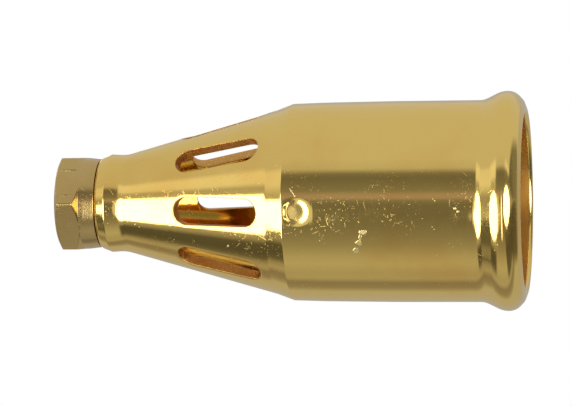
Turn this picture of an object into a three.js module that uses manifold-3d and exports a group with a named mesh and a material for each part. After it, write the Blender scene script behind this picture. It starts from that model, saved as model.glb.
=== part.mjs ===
// Brass gas torch burner head: hex inlet socket, vented cone, barrel with a beaded mouth, jet train and
// flame stabiliser. Millimetres, +X along the axis from the inlet face to the mouth, +Z up.
import * as THREE from 'three';
import { mergeVertices } from 'three/addons/utils/BufferGeometryUtils.js';
import Module from 'manifold-3d';

const wasm = await Module();
wasm.setup();

// Clearance left between pieces that touch
const GAP = 0.3;

// Inlet socket: spanner hexagon, round collar, threaded bore, web and spigot
const ACROSS_FLATS = 24;
const HEX_LENGTH = 6.3;
const HEX_TURN = 6;
const COLLAR_END = 10.4;
const INLET_BORE_R = 9.5;
const WEB_START = 9;
const WEB_END = 12.6;
const CARRIER_HOLE_R = 4.75;
const SPIGOT_R = 9.4;
const SPIGOT_END = 18;
const SPIGOT_BORE_R = 6.4;

// Burner body: neck, cone with air slots, barrel with punch dimples, beaded mouth
const BODY_START = COLLAR_END + GAP;
const NECK_BORE_R = SPIGOT_R + GAP;
const BARREL_BORE_R = 22.9;
const MOUTH_X = 122.5;
const SLOT_COUNT = 8;
const SLOT_WIDTH = 7.3;
const SLOT_START = 32.7;
const SLOT_END = 54.6;
const SLOT_MIDDLE_R = 20.13;
const CONE_SLOPE = 0.2744;
const DIMPLE_COUNT = 3;
const DIMPLE_X = 65.8;
const DIMPLE_FLOOR_R = 2.3;
const DIMPLE_RIM_R = 3.9;
const DIMPLE_DEPTH = 1.1;

// Jet train: carrier, nozzle, washer, filter
const CARRIER_FLATS = 11;
const CARRIER_HEAD = [4.4, 7.6];
const CARRIER_SHANK_R = CARRIER_HOLE_R - GAP;
const WASHER = [7.9, 8.7];
const NOZZLE_FLATS = 6;
const JET_TIP = 24.5;
const ORIFICE_R = 0.4;

// Flame stabiliser: ported ring, central tube, grid disc
const RING = [62.9, 69];
const RING_R = BARREL_BORE_R - GAP;
const RING_BORE_R = 15.5;
const PORT_COUNT = 12;
const PORT_R = 1.7;
const PORT_CIRCLE_R = 18.7;
const TUBE = [60.4, 82];
const TUBE_WALL = 1.1;
const GRID = [77.4, 78.6];

// Burner body surfaces as [x, radius] pairs, outside from the neck, then inside from the mouth
const BODY_OUTSIDE = [
  [BODY_START, 11.6], [12.2, 12.25], [13.1, 12.72], [13.7, 12.84], [15.2, 12.81], [16.8, 12.68],
  [18.1, 12.95], [20.8, 13.77], [40, 19.1], [58.1, 24.2], [60, 24.8], [61.4, 25.36], [62.3, 25.68],
  [68.6, 25.9], [89, 26.14], [111, 26.17], [111.9, 26.45], [114.7, 27.75], [116.2, 28.3], [117.4, 28.51],
  [118.4, 28.5], [119.4, 28.16], [120.4, 27.43], [121.4, 26.45], [122, 25.45], [122.4, 24.6],
  [MOUTH_X, 24.2],
];
const BODY_INSIDE = [
  [MOUTH_X, 23.5], [122.2, 23.05], [121.6, BARREL_BORE_R], [62.6, BARREL_BORE_R], [61.2, 22.6],
  [57.6, 21.2], [21.6, 10.9], [20.6, NECK_BORE_R], [BODY_START + 1.2, NECK_BORE_R],
  [BODY_START + 1.2, 10.9], [BODY_START, 10.9],
];

// A closed profile of [x, radius] pairs turned about X
function turned(profile, segments) {
  const points = [...profile, profile[0]].map(([x, r]) => new THREE.Vector2(r, x));
  const geometry = new THREE.LatheGeometry(points, segments);
  geometry.rotateZ(-Math.PI / 2);
  return solid(geometry);
}

// A cylinder along X from x0 to x1
function rod(x0, x1, radius, segments) {
  const geometry = new THREE.CylinderGeometry(radius, radius, x1 - x0, segments);
  geometry.rotateZ(-Math.PI / 2);
  geometry.translate((x0 + x1) / 2, 0, 0);
  return solid(geometry);
}

// Turns a geometry into a boolean-ready body, with its faces outward
function solid(geometry) {
  const bare = geometry.clone();
  bare.deleteAttribute('normal');
  bare.deleteAttribute('uv');
  const merged = mergeVertices(bare, 1e-4);
  const triangles = [];
  const index = merged.index.array;
  for (let i = 0; i < index.length; i += 3) {
    const [a, b, c] = [index[i], index[i + 1], index[i + 2]];
    if (a !== b && b !== c && a !== c) {
      triangles.push(a, b, c);
    }
  }
  const build = (order) => new wasm.Manifold(new wasm.Mesh({
    numProp: 3,
    vertProperties: new Float32Array(merged.attributes.position.array),
    triVerts: new Uint32Array(order),
  }));
  const body = build(triangles);
  if (body.volume() > 0) {
    return body;
  }
  const flipped = [];
  for (let i = 0; i < triangles.length; i += 3) {
    flipped.push(triangles[i], triangles[i + 2], triangles[i + 1]);
  }
  return build(flipped);
}

// Turns a body about X by an angle in degrees, 0 being the side that faces -Y and 90 the top
function aroundAxis(geometry, degrees) {
  geometry.rotateX(-THREE.MathUtils.degToRad(degrees));
  return geometry;
}

// Hexagonal bar along X, with a corner on the side that faces -Y, turned up by an angle
function hexBar(x0, x1, acrossFlats, degrees) {
  const radius = acrossFlats / Math.sqrt(3);
  const geometry = new THREE.CylinderGeometry(radius, radius, x1 - x0, 6);
  geometry.rotateZ(-Math.PI / 2);
  geometry.rotateX(Math.PI / 2);
  geometry.translate((x0 + x1) / 2, 0, 0);
  return solid(aroundAxis(geometry, degrees));
}

// Stadium-shaped cutter through the cone wall, its long side along the cone's slope
function slotCutter(degrees) {
  const half = SLOT_WIDTH / 2;
  const straight = (SLOT_END - SLOT_START) / Math.cos(CONE_SLOPE) / 2 - half;
  const outline = new THREE.Shape();
  outline.moveTo(-straight, -half);
  outline.lineTo(straight, -half);
  outline.absarc(straight, 0, half, -Math.PI / 2, Math.PI / 2, false);
  outline.lineTo(-straight, half);
  outline.absarc(-straight, 0, half, Math.PI / 2, Math.PI * 1.5, false);
  const geometry = new THREE.ExtrudeGeometry(outline, { depth: 12, bevelEnabled: false, curveSegments: 8 });
  geometry.rotateX(Math.PI / 2);
  geometry.rotateZ(-CONE_SLOPE);
  const below = 6.8;
  const middle = (SLOT_START + SLOT_END) / 2 + below * Math.sin(CONE_SLOPE);
  geometry.translate(middle, below * Math.cos(CONE_SLOPE) - SLOT_MIDDLE_R, 0);
  return solid(aroundAxis(geometry, degrees));
}

// Shallow round punch mark, a frustum that narrows towards its floor
function dimpleCutter(degrees) {
  const rimY = -26.1;
  const floorY = rimY + DIMPLE_DEPTH;
  const slope = (DIMPLE_RIM_R - DIMPLE_FLOOR_R) / DIMPLE_DEPTH;
  const height = 2;
  const geometry = new THREE.CylinderGeometry(DIMPLE_FLOOR_R, DIMPLE_FLOOR_R + slope * height, height, 20);
  geometry.translate(DIMPLE_X, floorY - height / 2, 0);
  return solid(aroundAxis(geometry, degrees));
}

// Bulge that a punch mark leaves inside the barrel; it locks the stabiliser ring in place
function dimpleBulge(degrees) {
  const geometry = new THREE.CylinderGeometry(1.4, 2.2, 2, 16);
  geometry.translate(DIMPLE_X, -23.2, 0);
  return solid(aroundAxis(geometry, degrees));
}

function burnerBody() {
  let body = turned([...BODY_OUTSIDE, ...BODY_INSIDE], 48);
  for (let i = 0; i < SLOT_COUNT; i += 1) {
    body = body.subtract(slotCutter((i * 360) / SLOT_COUNT));
  }
  for (let i = 0; i < DIMPLE_COUNT; i += 1) {
    const degrees = (i * 360) / DIMPLE_COUNT;
    body = body.subtract(dimpleCutter(degrees)).add(dimpleBulge(degrees));
  }
  return body;
}

function inletSocket() {
  const outline = [
    [0, 11.5], [1.3, 13.9], [4.8, 13.9], [HEX_LENGTH, 12.02], [7.4, 11.95], [COLLAR_END, 11.62],
    [COLLAR_END, SPIGOT_R], [SPIGOT_END, SPIGOT_R], [SPIGOT_END, SPIGOT_BORE_R], [WEB_END, SPIGOT_BORE_R],
    [WEB_END, CARRIER_HOLE_R], [WEB_START, CARRIER_HOLE_R], [WEB_START, INLET_BORE_R],
    [0.8, INLET_BORE_R], [0, INLET_BORE_R + 0.8],
  ];
  const hexZone = hexBar(-1, HEX_LENGTH, ACROSS_FLATS, HEX_TURN);
  const roundZone = rod(HEX_LENGTH - 0.01, SPIGOT_END + 1, 13, 48);
  return turned(outline, 48).intersect(hexZone.add(roundZone));
}

// Flat annulus between two x positions
function washer([x0, x1], inner, outer, segments) {
  return turned([[x0, outer], [x1, outer], [x1, inner], [x0, inner]], segments);
}

// Carrier: hexagon head with a filter recess, shank through the web, seat for the nozzle
function jetCarrier() {
  const [x0, x1] = CARRIER_HEAD;
  const outline = [
    [x0, 5.7], [x0 + 0.5, 6.5], [x1, 6.5], [x1, CARRIER_SHANK_R], [14.4, CARRIER_SHANK_R], [15, 3.9],
    [15, 2.4], [9.4, 2.4], [9.4, 1.8], [7, 1.8], [7, 3.6], [x0, 3.6],
  ];
  const hexZone = hexBar(x0 - 1, x1, CARRIER_FLATS, 0);
  const roundZone = rod(x1 - 0.01, 16, 6, 32);
  return turned(outline, 32).intersect(hexZone.add(roundZone));
}

// Nozzle: shank inside the carrier, small hexagon, tapered nose with the gas orifice
function jetNozzle() {
  const outline = [
    [9.7, 1.9], [9.9, 2.1], [15.3, 2.1], [15.3, 3.6], [18.3, 3.6], [18.3, 2.5], [21.5, 2.5],
    [JET_TIP, 1.6], [JET_TIP, ORIFICE_R], [22.5, ORIFICE_R], [21, 1.2], [9.7, 1.2],
  ];
  const hexZone = hexBar(15, 18.6, NOZZLE_FLATS, 0);
  const shank = rod(9, 15.3, 2.5, 24);
  const nose = rod(18.3, JET_TIP + 1, 3, 24);
  return turned(outline, 24).intersect(hexZone.add(shank).add(nose));
}

// Disc along X with holes on concentric circles, each circle given as [count, pitch radius, hole radius]
function drilledDisc([x0, x1], radius, circles, segments) {
  let disc = rod(x0, x1, radius, segments);
  for (const [count, pitch, hole] of circles) {
    for (let i = 0; i < count; i += 1) {
      const angle = (i * 2 * Math.PI) / count;
      const drill = rod(x0 - 1, x1 + 1, hole, 10);
      disc = disc.subtract(drill.translate([0, -pitch * Math.cos(angle), pitch * Math.sin(angle)]));
    }
  }
  return disc;
}

// Outer ring of the stabiliser, grooved for the barrel's bulges and drilled with pilot ports
function stabiliserRing() {
  const [x0, x1] = RING;
  let ring = turned([
    [x0, 20.6], [x0 + 0.6, RING_R], [x0 + 0.8, RING_R], [x0 + 0.8, 21.4], [x1 - 1.2, 21.4],
    [x1 - 1.2, RING_R], [x1, RING_R], [x1, RING_BORE_R], [x0, RING_BORE_R],
  ], 64);
  for (let i = 0; i < PORT_COUNT; i += 1) {
    const angle = ((i + 0.5) * 2 * Math.PI) / PORT_COUNT;
    const drill = rod(x0 - 1, x1 + 1, PORT_R, 12);
    const offset = [0, -PORT_CIRCLE_R * Math.cos(angle), PORT_CIRCLE_R * Math.sin(angle)];
    ring = ring.subtract(drill.translate(offset));
  }
  return ring;
}

// Central tube of the stabiliser, with a bell mouth towards the jet and a step that carries the grid
function stabiliserTube() {
  const outer = RING_BORE_R - GAP;
  const inner = outer - TUBE_WALL;
  const [x0, x1] = TUBE;
  return turned([
    [x0, outer + 1.6], [x0 + 0.8, outer + 1.6], [x0 + 2.4, outer], [x1, outer], [x1, inner],
    [GRID[0] - GAP, inner], [GRID[0] - GAP, inner - 0.7], [GRID[0] - 1.6, inner - 0.7],
    [GRID[0] - 2.4, inner], [x0 + 2.6, inner], [x0, outer + 0.6],
  ], 56);
}

// Names, solids and finishes of every piece
const BRASS = [0xc9a24a, 0.28, 1];
const HOT_BRASS = [0x9a6a2c, 0.45, 1];
const STEEL = [0xb4b6b8, 0.4, 1];
const COPPER = [0xb46a3c, 0.4, 1];
const SILVER_SOLDER = [0xa8a294, 0.5, 1];
const FIBRE = [0x6e2f22, 0.85, 0];
const pieces = [
  ['burner_body', burnerBody(), BRASS],
  ['inlet_socket', inletSocket(), BRASS],
  ['solder_ring', washer([BODY_START, BODY_START + 0.9], NECK_BORE_R, 10.6, 48), SILVER_SOLDER],
  ['inlet_gasket', washer([7.5, 8.7], 7, 9.1, 40), FIBRE],
  ['jet_carrier', jetCarrier(), BRASS],
  ['jet_washer', washer(WASHER, CARRIER_SHANK_R + GAP, 6.4, 32), COPPER],
  ['jet_nozzle', jetNozzle(), BRASS],
  ['filter_gauze', drilledDisc([6.1, 6.7], 3.3, [[1, 0, 0.5], [6, 1.9, 0.5]], 24), STEEL],
  ['filter_ring', washer([4.9, 5.8], 2.4, 3.3, 24), STEEL],
  ['stabiliser_ring', stabiliserRing(), HOT_BRASS],
  ['stabiliser_tube', stabiliserTube(), HOT_BRASS],
  ['flame_grid', drilledDisc(GRID, 13.8, [[1, 0, 2.6], [8, 6.4, 1.5], [14, 10.9, 1.5]], 48), HOT_BRASS],
];

const group = new THREE.Group();
group.name = 'gas_torch_burner_head';
for (const [name, body, [colour, roughness, metalness]] of pieces) {
  const data = body.getMesh();
  const geometry = new THREE.BufferGeometry();
  geometry.setAttribute('position', new THREE.BufferAttribute(new Float32Array(data.vertProperties), 3));
  geometry.setIndex(new THREE.BufferAttribute(new Uint32Array(data.triVerts), 1));
  geometry.computeVertexNormals();
  const material = new THREE.MeshStandardMaterial({ color: colour, roughness, metalness });
  const mesh = new THREE.Mesh(geometry, material);
  mesh.name = name;
  group.add(mesh);
}

export default group;
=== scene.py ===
"""Finished look of a brass gas torch burner head.

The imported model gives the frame: +X runs along the axis from the inlet to the mouth and +Z is up. Every new
piece is a numpy surface in millimetres, scaled to metres when its mesh is made.
"""

import logging
import math
from collections.abc import Sequence
from dataclasses import dataclass
from enum import Enum
from typing import Protocol

import bmesh
import bpy
import numpy as np
from mathutils import Matrix, Vector


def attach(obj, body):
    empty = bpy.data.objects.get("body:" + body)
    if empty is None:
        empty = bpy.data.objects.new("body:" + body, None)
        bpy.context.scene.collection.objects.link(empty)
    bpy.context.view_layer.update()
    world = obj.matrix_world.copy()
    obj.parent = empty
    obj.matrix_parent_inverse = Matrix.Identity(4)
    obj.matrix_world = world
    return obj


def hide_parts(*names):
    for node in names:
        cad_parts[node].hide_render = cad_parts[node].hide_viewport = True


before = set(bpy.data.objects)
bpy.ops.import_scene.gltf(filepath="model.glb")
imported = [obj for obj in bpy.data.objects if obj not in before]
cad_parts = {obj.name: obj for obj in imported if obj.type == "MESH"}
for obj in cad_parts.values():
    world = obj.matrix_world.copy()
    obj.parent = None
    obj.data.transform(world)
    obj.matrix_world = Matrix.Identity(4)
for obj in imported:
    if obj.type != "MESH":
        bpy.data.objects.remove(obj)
log = logging.getLogger("burner")

MM = 0.001
# Points round the axis on the burner body
COLUMNS = 240
# Distances from both ends of a straight at which it has points, in mm
NEAR_ENDS = (0.12, 0.4, 1.0)
# Rings on the rounded edge of a window
EDGE_RINGS = 5

Profile = Sequence[tuple[float, float, float]]


# --------------------------------------------------------------------------------------------------------
# Surfaces
# --------------------------------------------------------------------------------------------------------


def smooth_step(low: float, high: float, value: np.ndarray) -> np.ndarray:
    """Returns 3t^2 - 2t^3 with t the place of value between low and high, held to 0..1."""
    t = np.clip((value - low) / (high - low), 0.0, 1.0)
    return t * t * (3.0 - 2.0 * t)


def soft_min(values: list[np.ndarray], power: float = 170.0) -> np.ndarray:
    """Smallest of several positive arrays with a rounded change-over.

    Args:
        values: arrays of one shape.
        power: p in the formula (sum of v^-p)^(-1/p). A larger p gives a sharper edge.

    Returns:
        The rounded minimum.
    """
    least = np.minimum.reduce(values)
    total = sum((least / value) ** power for value in values)
    return least * total ** (-1.0 / power)


def straight(start: np.ndarray, end: np.ndarray, step: float) -> np.ndarray:
    """Points from start up to, but without, end: close together near both ends, at most step apart between.

    Args:
        start: first point as (x, r).
        end: last point as (x, r).
        step: largest distance between two points, in mm.

    Returns:
        An array of (x, r) points.
    """
    length = float(np.hypot(*(end - start)))
    if length < 1e-6:
        return start[None, :]
    near = [d for d in NEAR_ENDS if d < length * 0.3]
    inner_low = near[-1] if near else 0.0
    inner_high = length - inner_low
    count = max(1, math.ceil((inner_high - inner_low) / step))
    middle = np.linspace(inner_low, inner_high, count + 1)
    far = [length - d for d in reversed(near)]
    places = np.unique(np.round(np.concatenate([[0.0], near, middle, far]), 6))
    places = places[places < length - 1e-6]
    return start + (end - start) * (places / length)[:, None]


def filleted(corners: Profile, step: float = 3.0, turn: float = 9.0) -> np.ndarray:
    """Polyline through corners, each rounded by an arc tangent to both of its sides.

    With unit directions u towards the last corner and w towards the next, and half the angle between them
    h, the arc of radius f starts f / tan(h) before the corner and ends as far after it.

    Args:
        corners: (x, r, fillet radius) of every corner. The first and last are end points.
        step: largest distance between points on a straight, in mm.
        turn: largest turn between two points on an arc, in degrees.

    Returns:
        An array of (x, r) points.
    """
    points = [np.array(corner[:2], float) for corner in corners]
    parts: list[np.ndarray] = []
    last = points[0]
    for index in range(1, len(corners) - 1):
        corner = points[index]
        u = (points[index - 1] - corner) / np.hypot(*(points[index - 1] - corner))
        w = (points[index + 1] - corner) / np.hypot(*(points[index + 1] - corner))
        half = math.acos(float(np.clip(u @ w, -1.0, 1.0))) / 2.0
        radius = corners[index][2]
        if radius <= 0.0 or half > math.radians(89.9):
            parts.append(straight(last, corner, step))
            last = corner
            continue
        reach = radius / math.tan(half)
        start, end = corner + u * reach, corner + w * reach
        bisector = (u + w) / np.hypot(*(u + w))
        centre = corner + bisector * (radius / math.sin(half))
        parts.append(straight(last, start, step))
        count = max(2, math.ceil(math.degrees(math.pi - 2.0 * half) / turn))
        first, final = start - centre, end - centre
        sweep = math.atan2(first[0] * final[1] - first[1] * final[0], float(first @ final))
        angles = np.linspace(0.0, sweep, count + 1)[:-1]
        turned_x = first[0] * np.cos(angles) - first[1] * np.sin(angles)
        turned_r = first[0] * np.sin(angles) + first[1] * np.cos(angles)
        parts.append(centre + np.stack([turned_x, turned_r], axis=1))
        last = end
    parts.append(straight(last, points[-1], step))
    parts.append(points[-1][None, :])
    return np.concatenate(parts)


def revolve(path: np.ndarray, columns: int) -> np.ndarray:
    """Turns a path about X: (x, r) at angle q becomes (x, -r cos q, r sin q).

    Args:
        path: (x, r) points.
        columns: number of angles in a full turn.

    Returns:
        An array of shape (points, columns, 3).
    """
    angles = np.arange(columns) * (2.0 * math.pi / columns)
    x = np.repeat(path[:, :1], columns, axis=1)
    return np.stack([x, -path[:, 1:] * np.cos(angles), path[:, 1:] * np.sin(angles)], axis=2)


def turn_about_x(points: np.ndarray, degrees: float) -> np.ndarray:
    """Turns points about X, from the side facing -Y towards the top.

    Args:
        points: an array whose last axis is (x, y, z).
        degrees: the turn: y cos + z sin becomes the new y, and z cos - y sin the new z.

    Returns:
        The turned points.
    """
    angle = math.radians(degrees)
    y = points[..., 1] * math.cos(angle) + points[..., 2] * math.sin(angle)
    z = points[..., 2] * math.cos(angle) - points[..., 1] * math.sin(angle)
    return np.stack([points[..., 0], y, z], axis=-1)


class Builder:
    """Collects grids of one closed piece and turns them into a mesh object."""

    def __init__(self, name: str) -> None:
        """Starts an empty piece.

        Args:
            name: the object's name.
        """
        self.name = name
        self.points: list[np.ndarray] = []
        self.faces: list[np.ndarray] = []
        self.values: dict[str, list[np.ndarray]] = {"cut": [], "inside": []}
        self.count = 0

    def grid(
        self,
        points: np.ndarray,
        wrap_rows: bool = False,
        keep: np.ndarray | None = None,
        cut: np.ndarray | float = 0.0,
        inside: np.ndarray | float = 0.0,
    ) -> None:
        """Adds a grid of quads whose last column joins the first.

        Args:
            points: array of shape (rows, columns, 3), in mm.
            wrap_rows: joins the last row to the first.
            keep: which quads are kept, or None for all.
            cut: 1 where the surface is a raw cut, for each row or for all.
            inside: 1 where the surface is out of the light, for each row or for all.
        """
        rows, columns = points.shape[:2]
        index = np.arange(rows * columns).reshape(rows, columns) + self.count
        if wrap_rows:
            index = np.concatenate([index, index[:1]])
        index = np.concatenate([index, index[:, :1]], axis=1)
        corners = [index[:-1, :-1], index[1:, :-1], index[1:, 1:], index[:-1, 1:]]
        quads = np.stack(corners, axis=-1)
        quads = quads[keep] if keep is not None else quads.reshape(-1, 4)
        self.points.append(points.reshape(-1, 3))
        self.faces.append(quads)
        self.count += rows * columns
        for name, value in (("cut", cut), ("inside", inside)):
            full = np.broadcast_to(np.asarray(value, float).reshape(-1, 1), (rows, columns))
            self.values[name].append(full.reshape(-1))

    def cap(self, ring: np.ndarray) -> None:
        """Closes a ring of points with triangles to its middle, as quads with two corners alike."""
        middle = np.broadcast_to(ring.mean(axis=0), ring.shape)
        self.grid(np.stack([ring, middle]))

    def finish(self, material: bpy.types.Material) -> bpy.types.Object:
        """Merges the grids into one closed mesh with its faces outward.

        Args:
            material: the piece's material.

        Returns:
            The new object, at the origin and shaded smooth.
        """
        mesh = bpy.data.meshes.new(self.name)
        points = np.concatenate(self.points) * MM
        faces = np.concatenate(self.faces)
        mesh.from_pydata(points, [], faces.tolist())
        for name, parts in self.values.items():
            layer = mesh.attributes.new(name, "FLOAT", "POINT")
            layer.data.foreach_set("value", np.concatenate(parts).astype(np.float32))
        work = bmesh.new()
        work.from_mesh(mesh)
        bmesh.ops.remove_doubles(work, verts=work.verts, dist=2e-6)
        bmesh.ops.recalc_face_normals(work, faces=work.faces)
        open_edges = sum(1 for edge in work.edges if not edge.is_manifold)
        if work.calc_volume(signed=True) < 0.0:
            bmesh.ops.reverse_faces(work, faces=work.faces)
        work.to_mesh(mesh)
        work.free()
        mesh.polygons.foreach_set("use_smooth", np.ones(len(mesh.polygons), bool))
        mesh.materials.append(material)
        obj = bpy.data.objects.new(self.name, mesh)
        bpy.context.scene.collection.objects.link(obj)
        log.info("%s: %d faces, %d open edges", self.name, len(mesh.polygons), open_edges)
        return obj


class Face(Protocol):
    """One side of a wall that a window goes through."""

    border: np.ndarray

    def place(self, plane: np.ndarray, depth: float) -> np.ndarray:
        """Returns points at plane coordinates, sunk by depth into the wall."""


@dataclass(frozen=True)
class Window:
    """Stadium-shaped opening through a wall, or a round hole where half_length is 0.

    Attributes:
        half_length: half the distance between the centres of its round ends, in mm.
        half_width: half its width, in mm.
        edge_front: rounding at the front face, in mm.
        edge_back: rounding at the back face, in mm.
        front_rings: number of rings on the front face.
        back_rings: number of rings on the back face.
    """

    half_length: float
    half_width: float
    edge_front: float
    edge_back: float
    front_rings: int = 7
    back_rings: int = 5

    def ray(self, border: np.ndarray) -> tuple[np.ndarray, np.ndarray, np.ndarray]:
        """Splits border points into a place on the middle line and a way from it.

        Args:
            border: points in the face's plane.

        Returns:
            Each point's nearest point on the middle line, the unit direction from there, and the distance.
        """
        middle = np.stack([np.clip(border[:, 0], -self.half_length, self.half_length), border[:, 0] * 0.0], 1)
        offset = border - middle
        distance = np.hypot(offset[:, 0], offset[:, 1])
        return middle, offset / distance[:, None], distance

    def rings(self, front: Face, back: Face, wall_rings: int = 3) -> tuple[np.ndarray, np.ndarray]:
        """Rings from the front border over the edge, down the wall and out to the back border.

        On a face the distance from the middle line goes from the border's to half_width + edge. An edge
        follows distance half_width + e (1 - sin f), depth e (1 - cos f) for f from 0 to 90 degrees.

        Args:
            front: the face that is looked at.
            back: the face behind it.
            wall_rings: rings between the two edges.

        Returns:
            The points as (rings, border points, 3), and 1 for each ring that is part of the wall.
        """
        out: list[np.ndarray] = []
        for face, edge, count in (
            (front, self.edge_front, self.front_rings),
            (back, self.edge_back, self.back_rings),
        ):
            middle, direction, distance = self.ray(face.border)
            rows = []
            # The rings lie closer together towards the edge
            for t in np.linspace(0.0, 1.0, count + 1) ** 0.8:
                reach = distance + (self.half_width + edge - distance) * t
                rows.append(face.place(middle + direction * reach[:, None], 0.0))
            for f in np.linspace(0.0, math.pi / 2.0, EDGE_RINGS + 1)[1:]:
                reach = self.half_width + edge * (1.0 - math.sin(f))
                rows.append(face.place(middle + direction * reach, edge * (1.0 - math.cos(f))))
            out.append(np.stack(rows))
        top, bottom = out[0][-1], out[1][-1]
        steps = np.linspace(0.0, 1.0, wall_rings + 2)[1:-1, None, None]
        wall = top + (bottom - top) * steps
        # The steeper half of each edge counts as wall
        half = (EDGE_RINGS + 1) // 2
        outside = np.zeros(self.front_rings + half), np.zeros(self.back_rings + half)
        flags = np.concatenate([outside[0], np.ones(half + wall_rings + half), outside[1]])
        return np.concatenate([out[0], wall, out[1][::-1]]), flags


def border_of(first: np.ndarray, second: np.ndarray) -> tuple[np.ndarray, np.ndarray]:
    """Walks once round the edge of a rectangle of two parameters.

    Args:
        first: values of the first parameter, from low to high.
        second: values of the second parameter, from low to high.

    Returns:
        Both parameters along the edge, with no point twice.
    """
    a = np.concatenate(
        [np.full(len(second) - 1, first[0]), first[:-1], np.full(len(second) - 1, first[-1]), first[:0:-1]]
    )
    b = np.concatenate(
        [second[:-1], np.full(len(first) - 1, second[-1]), second[:0:-1], np.full(len(first) - 1, second[0])]
    )
    return a, b


@dataclass(frozen=True)
class Cone:
    """Cone about X whose radius is radius + slope (x - x0)."""

    x0: float
    radius: float
    slope: float

    def at(self, x: np.ndarray) -> np.ndarray:
        """Returns the radius at x."""
        return self.radius + self.slope * (x - self.x0)


class ConeFace:
    """Side of the cone wall, in coordinates (a, v): along the slope at the slot's middle, and across."""

    rounds = 14

    def __init__(
        self, cone: Cone, tilt: float, centre: float, x: np.ndarray, q: np.ndarray, side: float
    ) -> None:
        """Sets the face up.

        Args:
            cone: the surface.
            tilt: angle of the slot's middle line from the axis, in radians.
            centre: value of x cos(tilt) + r sin(tilt) at the slot's middle, with r the radius.
            x: border positions along the axis.
            q: border angles about the axis, in radians.
            side: 1 where depth goes towards the axis, -1 where it goes away from it.
        """
        self.cone, self.tilt, self.centre, self.side = cone, tilt, centre, side
        r = cone.at(x)
        along = x * math.cos(tilt) + r * np.cos(q) * math.sin(tilt) - centre
        self.border = np.stack([along, r * np.sin(q)], axis=1)

    def place(self, plane: np.ndarray, depth: float) -> np.ndarray:
        """Solves x cos(tilt) + h sin(tilt) = a with h^2 + v^2 = R(x)^2, where h is the place along -Y.

        Each round puts the last x into the second formula and the h from there into the first.

        Args:
            plane: (a, v) points.
            depth: how far they are sunk into the wall, in mm.

        Returns:
            The points in space.
        """
        a, v = plane[:, 0] + self.centre, plane[:, 1]
        x = a * math.cos(self.tilt)
        for _ in range(self.rounds):
            h = np.sqrt(self.cone.at(x) ** 2 - v * v)
            x = (a - h * math.sin(self.tilt)) / math.cos(self.tilt)
        h = np.sqrt(self.cone.at(x) ** 2 - v * v)
        sink = depth * self.side
        return np.stack([x + sink * math.sin(self.tilt), -(h - sink * math.cos(self.tilt)), v], axis=1)


class DiscFace:
    """Flat side of a disc about X, in coordinates (a, v): outward from a hole's centre, and across."""

    def __init__(self, x: float, side: float, pitch: float, r: np.ndarray, q: np.ndarray) -> None:
        """Sets the face up.

        Args:
            x: the face's place along the axis.
            side: 1 where depth goes towards -X, -1 where it goes towards +X.
            pitch: radius of the circle of hole centres.
            r: border radii.
            q: border angles, in radians.
        """
        self.x, self.side, self.pitch = x, side, pitch
        self.border = np.stack([r * np.cos(q) - pitch, r * np.sin(q)], axis=1)

    def place(self, plane: np.ndarray, depth: float) -> np.ndarray:
        """Returns points of the face, sunk by depth."""
        x = np.full(len(plane), self.x - depth * self.side)
        return np.stack([x, -(plane[:, 0] + self.pitch), plane[:, 1]], axis=1)


def hexagon(angle: np.ndarray, across_flats: float, corner: float) -> np.ndarray:
    """Radius of a hexagon with slightly rounded corners.

    With c_k the cosines of the angles from the six flats, it is (sum of (c_k / h)^p)^(-1/p) for a half
    width h.

    Args:
        angle: angles about the axis, in radians.
        across_flats: distance between two opposite flats, in mm.
        corner: angle of one corner, in degrees.

    Returns:
        The radius at each angle.
    """
    power = 130.0
    total = np.zeros_like(angle)
    for k in range(6):
        flat = math.radians(corner + 30.0 + 60.0 * k)
        total = total + np.clip(np.cos(angle - flat), 1e-3, None) ** power
    return across_flats / 2.0 * total ** (-1.0 / power)


def hexed(
    path: np.ndarray, columns: int, flats: float, corner: float, span: tuple[float, float]
) -> np.ndarray:
    """Revolved path whose outside is limited to a hexagon between two places on the axis.

    There, where r is over 0.4 of the distance across flats, r becomes the rounded minimum of r and the
    hexagon's radius at that angle.

    Args:
        path: (x, r) points.
        columns: number of angles in a full turn.
        flats: distance across flats, in mm.
        corner: angle of one corner, in degrees.
        span: where the hexagon starts and ends on the axis.

    Returns:
        An array of shape (points, columns, 3).
    """
    angles = np.arange(columns) * (2.0 * math.pi / columns)
    limit = np.broadcast_to(hexagon(angles, flats, corner), (len(path), columns))
    r = np.repeat(path[:, 1:], columns, axis=1)
    inside = (path[:, :1] >= span[0]) & (path[:, :1] <= span[1]) & (path[:, 1:] > flats * 0.4)
    r = np.where(inside, soft_min([limit, np.maximum(r, 1e-3)]), r)
    x = np.repeat(path[:, :1], columns, axis=1)
    return np.stack([x, -r * np.cos(angles), r * np.sin(angles)], axis=2)


# --------------------------------------------------------------------------------------------------------
# Finishes
# --------------------------------------------------------------------------------------------------------


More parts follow.
